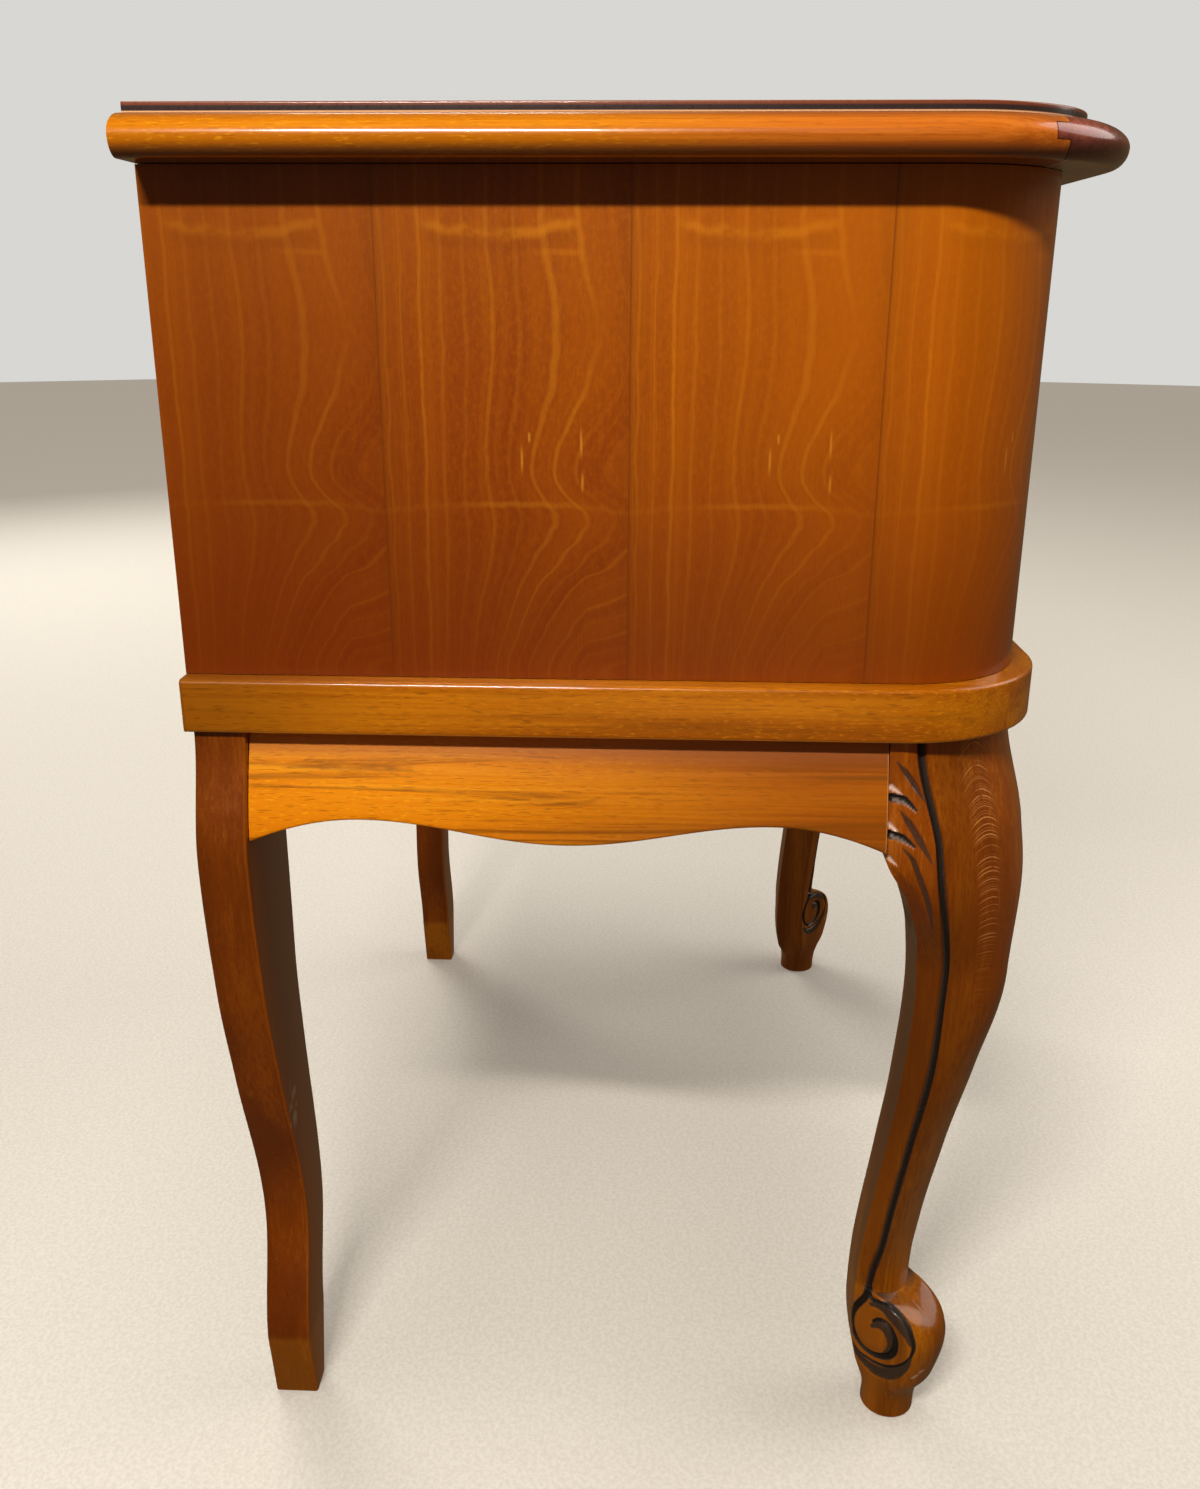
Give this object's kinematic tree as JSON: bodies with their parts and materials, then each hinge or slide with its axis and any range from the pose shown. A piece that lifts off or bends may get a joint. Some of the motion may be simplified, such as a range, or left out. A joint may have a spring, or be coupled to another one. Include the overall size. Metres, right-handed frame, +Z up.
{
  "type": "nightstand",
  "caption": "Cherry nightstand: round-nosed top, veneered case with stacked shallow drawers, scalloped aprons, cabriole front legs with scroll feet and sawn rear legs.",
  "frame": {"origin": "on the floor, under the middle of the top's outline", "axes": "+Z up, the drawers face and open towards -Y, X runs along the width"},
  "size_m": [0.587, 0.3804, 0.62],
  "materials": {
    "cherry_top": "gloss lacquer over warm stained cherry",
    "cherry_veneer": "gloss lacquer over slip-matched figured veneer",
    "cherry_front": "gloss lacquer over stained cherry",
    "cherry_gold": "satin lacquer over golden cherry",
    "cherry_dark": "satin lacquer over red-brown stained cherry",
    "case_board": "bare board",
    "inner_wood": "planed, unfinished",
    "brass": "aged, lightly polished"
  },
  "bodies": {
    "case": {"top_core": "cherry_top", "top_field": "cherry_top", "top_rail_left": "cherry_top", "top_rail_right": "cherry_top", "top_rail_front": "cherry_dark", "back_apron": "cherry_dark", "rear_leg_left": "cherry_dark", "rear_leg_right": "cherry_dark", "front_leg_left": "cherry_dark", "front_leg_right": "cherry_dark", "side_veneer_left": "cherry_veneer", "side_veneer_right": "cherry_veneer", "front_rail_lower": "cherry_front", "front_rail_middle": "cherry_front", "front_rail_upper": "cherry_front", "base_board": "cherry_gold", "front_apron": "cherry_gold", "side_apron_left": "cherry_gold", "side_apron_right": "cherry_gold", "back_panel": "case_board", "side_panel_left": "case_board", "side_panel_right": "case_board", "corner_post_left": "case_board", "corner_post_right": "case_board", "runner_upper_left": "inner_wood", "runner_upper_right": "inner_wood", "runner_lower_left": "inner_wood", "runner_lower_right": "inner_wood", "kicker_left": "inner_wood", "kicker_right": "inner_wood", "drawer_stop_upper_left": "inner_wood", "drawer_stop_upper_right": "inner_wood", "drawer_stop_lower_left": "inner_wood", "drawer_stop_lower_right": "inner_wood", "glue_block_rear_left": "inner_wood", "glue_block_rear_right": "inner_wood", "glue_block_front_left": "inner_wood", "glue_block_front_right": "inner_wood"},
    "upper_drawer": {"upper_drawer_front": "cherry_front", "upper_drawer_side_left": "inner_wood", "upper_drawer_side_right": "inner_wood", "upper_drawer_back": "inner_wood", "upper_drawer_bottom": "inner_wood", "upper_pull_post_left": "brass", "upper_pull_post_right": "brass", "upper_pull_nut_left": "brass", "upper_pull_nut_right": "brass"},
    "upper_bail": {"upper_pull_bail": "brass"},
    "lower_drawer": {"lower_drawer_front": "cherry_front", "lower_drawer_side_left": "inner_wood", "lower_drawer_side_right": "inner_wood", "lower_drawer_back": "inner_wood", "lower_drawer_bottom": "inner_wood", "lower_pull_post_left": "brass", "lower_pull_post_right": "brass", "lower_pull_nut_left": "brass", "lower_pull_nut_right": "brass"},
    "lower_bail": {"lower_pull_bail": "brass"}
  },
  "joints": [
    {"name": "upper_drawer_slide", "type": "slide", "parent": "case", "child": "upper_drawer", "axis": [0, -1, 0], "range_m": [0, 0.22]},
    {"name": "upper_bail_hinge", "type": "hinge", "parent": "upper_drawer", "child": "upper_bail", "pos_m": [0, -0.17825, 0.548], "axis": [-1, 0, 0], "range_deg": [-18, 150]},
    {"name": "lower_drawer_slide", "type": "slide", "parent": "case", "child": "lower_drawer", "axis": [0, -1, 0], "range_m": [0, 0.22]},
    {"name": "lower_bail_hinge", "type": "hinge", "parent": "lower_drawer", "child": "lower_bail", "pos_m": [0, -0.17825, 0.454], "axis": [-1, 0, 0], "range_deg": [-18, 150]}
  ]
}
